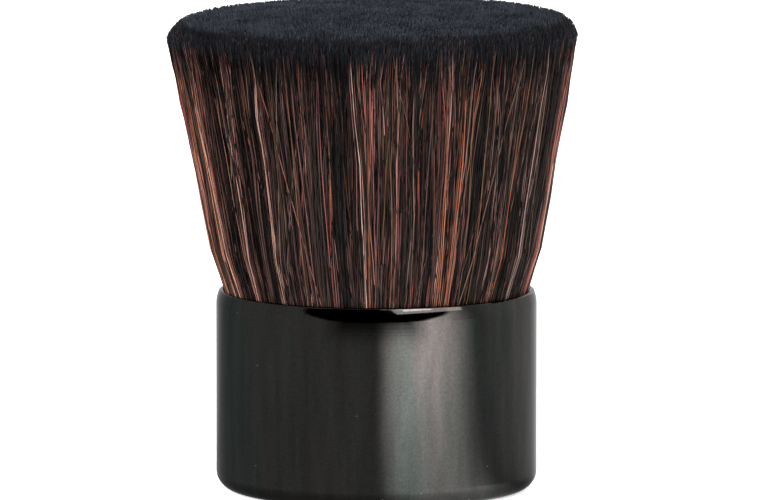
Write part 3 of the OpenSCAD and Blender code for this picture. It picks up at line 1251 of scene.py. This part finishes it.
@dataclass
class Knot:
    """The filaments: black ones that fill the head, and rows of black and copper ones round them.

    The dyes are stops of a ramp from the darkest filament to the brightest.
    """

    shape: KnotShape = field(default_factory=KnotShape)
    lean: float = math.radians(-0.55)  # the head leans a little to the left
    row_inner_r: float = mm(23.75)  # the core's tips end here and the rows' begin
    row_filament_r: float = mm(0.07)
    # points of a filament, as shares of its height; the rows' are those above the waist
    core_bends: tuple[float, ...] = (0.0, 0.92, 1.0)
    row_bends: tuple[float, ...] = (0.42, 0.56, 0.7, 0.82, 0.93, 1.0)
    # thickness along a filament: share of the way, share of the full thickness
    core_taper: tuple[tuple[float, float], ...] = ((0.0, 0.6), (0.5, 1.0), (1.0, 0.75))
    row_taper: tuple[tuple[float, float], ...] = ((0.0, 0.75), (0.2, 0.9), (0.7, 1.0), (1.0, 0.35))

    BLACK = ((0.0, "#101114"), (0.6, "#1b1d22"), (1.0, "#363a42"))
    TWO_TONE = (
        (0.0, "#080808"),
        (0.27, "#131211"),
        (0.42, "#221e1a"),
        (0.62, "#432f25"),
        (0.8, "#6e4535"),
        (0.91, "#a05c41"),
        (1.0, "#c98060"),
    )

    @property
    def core(self) -> Planting:
        """Plan the straight filaments that fill the head.

        Returns:
            How they are planted.
        """
        return Planting(
            "core_filaments",
            Slot.BLACK,
            "core_bristles",
            count=46000,
            sectors=4,
            seed=0,
            inner_r=0.0,
            outer_r=self.row_inner_r,
            filament_r=mm(0.08),
            tip_scatter=mm(0.8),
            lock_size=mm(5),
            lock_sway=mm(0.4),
            lock_tint=2.0,
            own_tint=0.6,
        )

    @property
    def rows(self) -> Planting:
        """Plan the filaments outside, which swell out over the rim.

        Returns:
            How they are planted.
        """
        return Planting(
            "row_filaments",
            Slot.TWO_TONE,
            "outer_bristles",
            count=19500,
            sectors=6,
            seed=64,
            inner_r=self.row_inner_r,
            outer_r=self.shape.head_r - self.row_filament_r,
            filament_r=self.row_filament_r,
            tip_scatter=mm(0.4),
            lock_size=mm(2.2),
            lock_sway=mm(0.6),
            lock_tint=1.4,
            own_tint=0.95,
            depth_drift=0.16,
            fan_angle=math.radians(8),
            stray_share=0.2,
            stray_angle=math.radians(30),
            own_wave=mm(0.55),
        )

    def grow(self) -> None:
        """Grow the filaments of both kinds."""
        shape = self.shape
        core = FilamentTree(self.core.name, shape, self.core_bends, self.core_taper)
        black = Filament("black_nylon_filament", self.BLACK, dip=0.5, tip_from=0.95, tip_full=0.985)
        self.plant(self.core, core, black)
        waist = (shape.share_of_height(z) for z in (shape.rim_z, shape.waist_z))
        rows = FilamentTree(self.rows.name, shape, (0.0, *waist, *self.row_bends), self.row_taper)
        two_tone = Filament("two_tone_nylon_filament", self.TWO_TONE, tip="#202227")
        self.plant(self.rows, rows, two_tone)

    def plant(self, planting: Planting, tree: FilamentTree, filament: Filament) -> None:
        """Grow one kind of filament, sector by sector.

        Args:
            planting: How the filaments fill the knot.
            tree: What makes them.
            filament: Their finish.
        """
        finish = filament.make()
        grown = GrownPiece(tree.build())
        for sector in range(planting.sectors):
            sizes = planting.sizes(sector) | {"Lean": self.lean, "Finish": finish}
            piece = grown.make(f"{planting.name}_{sector + 1}", sizes)
            finish_piece(piece, planting.slot, planting.node)


@dataclass(frozen=True)
class Lamp:
    """A soft lamp that looks at the brush."""

    name: str
    azimuth: float  # degrees to the right of the camera
    elevation: float  # degrees
    size: tuple[float, float]  # metres
    level: float  # how bright its face is, where 1 is white
    distance: float = 0.75
    aim: tuple[float, float, float] = (0.0, 0.0, mm(30))
    mirrored: bool = True  # whether the cup shows it

    def hang(self) -> None:
        """Hang the lamp."""
        data = bpy.data.lights.new(self.name, "AREA")
        data.shape = "RECTANGLE"
        data.size, data.size_y = self.size
        data.energy = self.level * math.pi * data.size * data.size_y
        lamp = bpy.data.objects.new(self.name, data)
        turn, rise = math.radians(self.azimuth), math.radians(self.elevation)
        away = Vector((math.sin(turn) * math.cos(rise), -math.cos(turn) * math.cos(rise), math.sin(rise)))
        lamp.location = Vector(self.aim) + self.distance * away
        lamp.rotation_euler = away.to_track_quat("Z", "Y").to_euler()
        lamp.visible_camera = False
        lamp.visible_glossy = self.mirrored
        bpy.context.scene.collection.objects.link(lamp)


@dataclass
class Studio:
    """Camera, pale floor and soft light of the photograph.

    The photograph was taken in a pale tent that is open towards the camera. The cup mirrors the dark
    opening, the grey side on the left, the brighter side behind on the right, a pool of light on the
    floor below the key lamp, and the round edge of the table in front. On the floor the pool, the
    table's dark edge and a shadow beside the brush are painted light, which it shows only to what mirrors
    it.
    """

    frame_w: float = mm(95.9)  # what the frame shows across, at the brush
    target: tuple[float, float, float] = (mm(1.06), 0.0, mm(29.8))
    distance: float = 1.5
    elevation: float = 7.1  # degrees
    sensor: float = 36.0
    floor_half: float = 3.0
    floor_grey: str = "#d8d8d8"
    white_from: float = 0.12  # the floor shows the brush's shadow as far as this
    white_to: float = 0.5  # from here it is plain white
    shadow_share: float = 0.4  # how much less it shines near the brush, so that its shadow shows
    ambient_front: float = 0.25  # soft light that comes from the opening
    ambient_back: float = 1.9  # soft light that comes from behind
    ambient_from: float = -0.6  # where it begins to rise, from -1 at the camera to 1 behind the brush
    ambient_to: float = 0.5
    side_level: float = 0.38
    bright_side: float = 150.0  # degrees to the right of the camera
    bright_from: float = 0.3  # cosine of the angle from there at which the side begins to brighten
    bright_level: float = 0.95
    opening_half: tuple[float, float] = (57.0, 38.0)  # degrees, across and up
    opening_rise: float = 30.0  # degrees
    opening_edge: float = 0.06  # as a share of the opening's half
    pool: tuple[float, float] = (8.0, 56.0)  # degrees to the right of the camera
    pool_edge: tuple[float, float] = (10.0, 19.0)  # degrees
    pool_near: float = 1.7  # how bright the painted pool of light on the floor is beside the brush
    pool_far: float = 4.2
    pool_from: float = mm(40)  # how far from the brush it begins to brighten
    pool_reach: float = 0.17  # how far from the brush it is at its brightest
    pool_height: tuple[float, float] = (-90.0, 45.0)  # degrees; how far down and up the tent shines with it
    pool_height_edge: float = 4.0  # degrees
    floor_edge: float = 0.1845  # how far from the brush the table ends towards the camera
    floor_edge_blur: float = mm(11)  # half the width of that soft edge
    table_opening: tuple[float, float] = (22.0, 38.0)  # degrees; where the sides hide the edge
    contact_shade: float = 0.5  # painted shadow: how bright the floor's painted reflection right beside the brush still is
    contact_from: float = mm(19)  # from the axis; where the floor is as dark as that
    contact_to: float = mm(26)  # where it is fully lit again
    lamps: tuple[Lamp, ...] = (
        Lamp("key", azimuth=41, elevation=41, size=(0.68, 0.45), level=3.4),
        Lamp("bulb", azimuth=32, elevation=41, size=(0.26, 0.3), level=8.0),
        Lamp("fill", azimuth=-64, elevation=22, size=(0.8, 0.8), level=6.2, mirrored=False),
        Lamp("top", azimuth=175, elevation=72, size=(0.6, 0.6), level=1.3, mirrored=False),
    )

    def place_camera(self) -> None:
        """Put the camera where the photograph was taken from."""
        data = bpy.data.cameras.new("camera")
        data.sensor_width = self.sensor
        data.lens = self.sensor * self.distance / self.frame_w
        camera = bpy.data.objects.new("camera", data)
        tilt = math.radians(self.elevation)
        away = Vector((0.0, -math.cos(tilt), math.sin(tilt)))
        camera.location = Vector(self.target) + self.distance * away
        camera.rotation_euler = (math.pi / 2 - tilt, 0.0, 0.0)
        bpy.context.scene.collection.objects.link(camera)
        bpy.context.scene.camera = camera

    def add_azimuth(self, nodes: Nodes, direction: Node) -> Node:
        """Add the angle of a direction round the upright axis.

        Args:
            nodes: The nodes to add to.
            direction: A node whose X and Y are the direction's.

        Returns:
            The node that gives the angle, in degrees to the right of the camera.
        """
        back = nodes.add("ShaderNodeMath", {0: direction.outputs["Y"], 1: -1.0}, operation="MULTIPLY")
        turn = nodes.add("ShaderNodeMath", {0: direction.outputs["X"], 1: back}, operation="ARCTAN2")
        return nodes.add("ShaderNodeMath", {0: turn}, operation="DEGREES")

    def add_sides(self, nodes: Nodes, direction: Source) -> Node:
        """Add the level of the tent's sides, brightest behind on the right.

        Args:
            nodes: The nodes to add to.
            direction: The direction in which a side lies.

        Returns:
            The node that gives the level.
        """
        turn = math.radians(self.bright_side)
        towards = nodes.add(
            "ShaderNodeVectorMath",
            {0: direction, 1: (math.sin(turn), -math.cos(turn), 0.0)},
            operation="DOT_PRODUCT",
        )
        return nodes.add(
            "ShaderNodeMapRange",
            {
                "Value": towards.outputs["Value"],
                "From Min": self.bright_from,
                "To Min": self.side_level,
                "To Max": self.bright_level,
            },
        )

    def add_glow(self, nodes: Nodes, azimuth: Source, strength: Source) -> Node:
        """Add the light of the pool, sharp on its left and soft on its right.

        Args:
            nodes: The nodes to add to.
            azimuth: Degrees to the right of the camera.
            strength: How bright the pool is.

        Returns:
            The node that gives the light.
        """
        wedge = nodes.add_window(azimuth, self.pool, self.pool_edge)
        return nodes.add("ShaderNodeMath", {0: wedge, 1: strength}, operation="MULTIPLY")

    def light_world(self) -> None:
        """Make the tent: white to the camera, soft light for the brush, its sides for what mirrors."""
        world = bpy.data.worlds.new("studio")
        world.use_nodes = True
        world.cycles.sampling_method = "NONE"
        nodes = Nodes(world.node_tree)
        path = nodes.add("ShaderNodeLightPath").outputs
        place = nodes.add("ShaderNodeTexCoord").outputs["Generated"]
        direction = nodes.add("ShaderNodeSeparateXYZ", {0: place})
        ambient = nodes.add(
            "ShaderNodeMapRange",
            {
                "Value": direction.outputs["Y"],
                "From Min": self.ambient_from,
                "From Max": self.ambient_to,
                "To Min": self.ambient_front,
                "To Max": self.ambient_back,
            },
        )
        azimuth = self.add_azimuth(nodes, direction)
        rise = nodes.add("ShaderNodeMath", {0: direction.outputs["Z"]}, operation="ARCSINE")
        elevation = nodes.add("ShaderNodeMath", {0: rise}, operation="DEGREES")
        half_width, half_height = self.opening_half
        spot = nodes.add("ShaderNodeCombineXYZ", {"X": azimuth, "Y": elevation})
        centred = nodes.add(
            "ShaderNodeVectorMath", {0: spot, 1: (0.0, self.opening_rise, 0.0)}, operation="SUBTRACT"
        )
        round_spot = nodes.add(
            "ShaderNodeVectorMath", {0: centred, 1: (half_width, half_height, 1.0)}, operation="DIVIDE"
        )
        away = nodes.add("ShaderNodeVectorMath", {0: round_spot}, operation="LENGTH")
        closed = nodes.add(
            "ShaderNodeMapRange",
            {
                "Value": away.outputs["Value"],
                "From Min": 1 - self.opening_edge,
                "From Max": 1 + self.opening_edge,
            },
            interpolation_type="SMOOTHSTEP",
        )
        low = nodes.add_window(elevation, self.pool_height, (self.pool_height_edge, self.pool_height_edge))
        pool = self.add_glow(nodes, azimuth, self.pool_far)
        glow = nodes.add("ShaderNodeMath", {0: pool, 1: low}, operation="MULTIPLY")
        tent = nodes.add("ShaderNodeMath", {0: self.add_sides(nodes, place), 1: glow})
        mirrored = nodes.add("ShaderNodeMath", {0: tent, 1: closed}, operation="MULTIPLY")
        lit = nodes.add("ShaderNodeMix", {"Factor": path["Is Glossy Ray"], "A": ambient, "B": mirrored})
        level = nodes.add("ShaderNodeMix", {"Factor": path["Is Camera Ray"], "A": lit, "B": 1.0})
        nodes.feed(nodes.tree.nodes["Background"], {"Color": WHITE, "Strength": level})
        bpy.context.scene.world = world

    def add_floor_painted_reflection(self, nodes: Nodes) -> Node:
        """Add the painted reflection that the floor shows to what mirrors it: the sides' light, a painted
        pool of light, the table's dark edge and a painted shadow beside the brush.

        Args:
            nodes: The nodes of the floor's material.

        Returns:
            The node that gives the level.
        """
        place = nodes.add("ShaderNodeTexCoord").outputs["Object"]
        away = nodes.add("ShaderNodeVectorMath", {0: place}, operation="LENGTH").outputs["Value"]
        direction = nodes.add("ShaderNodeVectorMath", {0: place}, operation="NORMALIZE")
        azimuth = self.add_azimuth(nodes, nodes.add("ShaderNodeSeparateXYZ", {0: direction}))
        strength = nodes.add(
            "ShaderNodeMapRange",
            {
                "Value": away,
                "From Min": self.pool_from,
                "From Max": self.pool_reach,
                "To Min": self.pool_near,
                "To Max": self.pool_far,
            },
        )
        # painted pool of light: the floor glows brighter away from the brush, only for what mirrors it
        glow = self.add_glow(nodes, azimuth, strength)
        on_table = nodes.add(
            "ShaderNodeMapRange",
            {
                "Value": away,
                "From Min": self.floor_edge + self.floor_edge_blur,
                "From Max": self.floor_edge - self.floor_edge_blur,
            },
            interpolation_type="SMOOTHSTEP",
        )
        turned_away = nodes.add("ShaderNodeMath", {0: azimuth}, operation="ABSOLUTE")
        narrow, wide = self.table_opening
        beside = nodes.add(
            "ShaderNodeMapRange", {"Value": turned_away, "From Min": narrow, "From Max": wide}
        )
        closed = nodes.add("ShaderNodeMath", {0: on_table, 1: beside}, operation="MAXIMUM")
        # painted shadow: what the floor shows to mirrors darkens next to the brush
        shade = nodes.add(
            "ShaderNodeMapRange",
            {
                "Value": away,
                "From Min": self.contact_from,
                "From Max": self.contact_to,
                "To Min": self.contact_shade,
            },
            interpolation_type="SMOOTHSTEP",
        )
        lit = nodes.add("ShaderNodeMath", {0: closed, 1: shade}, operation="MULTIPLY")
        shown = nodes.add("ShaderNodeMath", {0: self.add_sides(nodes, direction), 1: glow})
        return nodes.add("ShaderNodeMath", {0: shown, 1: lit}, operation="MULTIPLY")

    def lay_floor(self) -> None:
        """Lay the pale floor, which shows white to the camera but for the brush's shadow."""
        half = self.floor_half
        mesh = bpy.data.meshes.new("floor")
        corners = [(-half, -half, 0), (half, -half, 0), (half, half, 0), (-half, half, 0)]
        mesh.from_pydata(corners, [], [(0, 1, 2, 3)])
        floor = bpy.data.objects.new("floor", mesh)
        bpy.context.scene.collection.objects.link(floor)
        material, nodes, shader = new_material("floor")
        material.cycles.emission_sampling = "NONE"
        nodes.feed(shader, {"Base Color": linear(self.floor_grey), "Roughness": 1.0})
        path = nodes.add("ShaderNodeLightPath").outputs
        place = nodes.add("ShaderNodeTexCoord").outputs["Object"]
        away = nodes.add("ShaderNodeVectorMath", {0: place}, operation="LENGTH").outputs["Value"]
        backdrop = nodes.add(
            "ShaderNodeMapRange",
            {
                "Value": away,
                "From Min": self.white_from,
                "From Max": self.white_to,
                "To Min": 1 - self.shadow_share,
            },
        )
        seen = nodes.add("ShaderNodeMath", {0: backdrop, 1: path["Is Camera Ray"]}, operation="MULTIPLY")
        white = nodes.add("ShaderNodeEmission", {"Strength": seen})
        lit = nodes.add("ShaderNodeAddShader", {0: shader, 1: white})
        # painted reflection: for glossy rays the floor glows with a painted pool of light and a painted
        # shadow instead of being lit
        mirrored = nodes.add("ShaderNodeEmission", {"Strength": self.add_floor_painted_reflection(nodes)})
        surface = nodes.add("ShaderNodeMixShader", {"Fac": path["Is Glossy Ray"], 1: lit, 2: mirrored})
        nodes.feed(nodes.tree.nodes["Material Output"], {"Surface": surface})
        mesh.materials.append(material)

    def set_up(self) -> None:
        """Set up the whole studio."""
        self.place_camera()
        self.light_world()
        self.lay_floor()
        for lamp in self.lamps:
            lamp.hang()
        bpy.context.scene.view_settings.view_transform = "Standard"


def main() -> None:
    """Build the brush and its studio."""
    logging.basicConfig(level=logging.INFO, format="%(message)s")
    Studio().set_up()
    Cup().dress()
    Liner().dress()
    Twine().wind()
    Knot().grow()


if __name__ == "__main__":
    main()
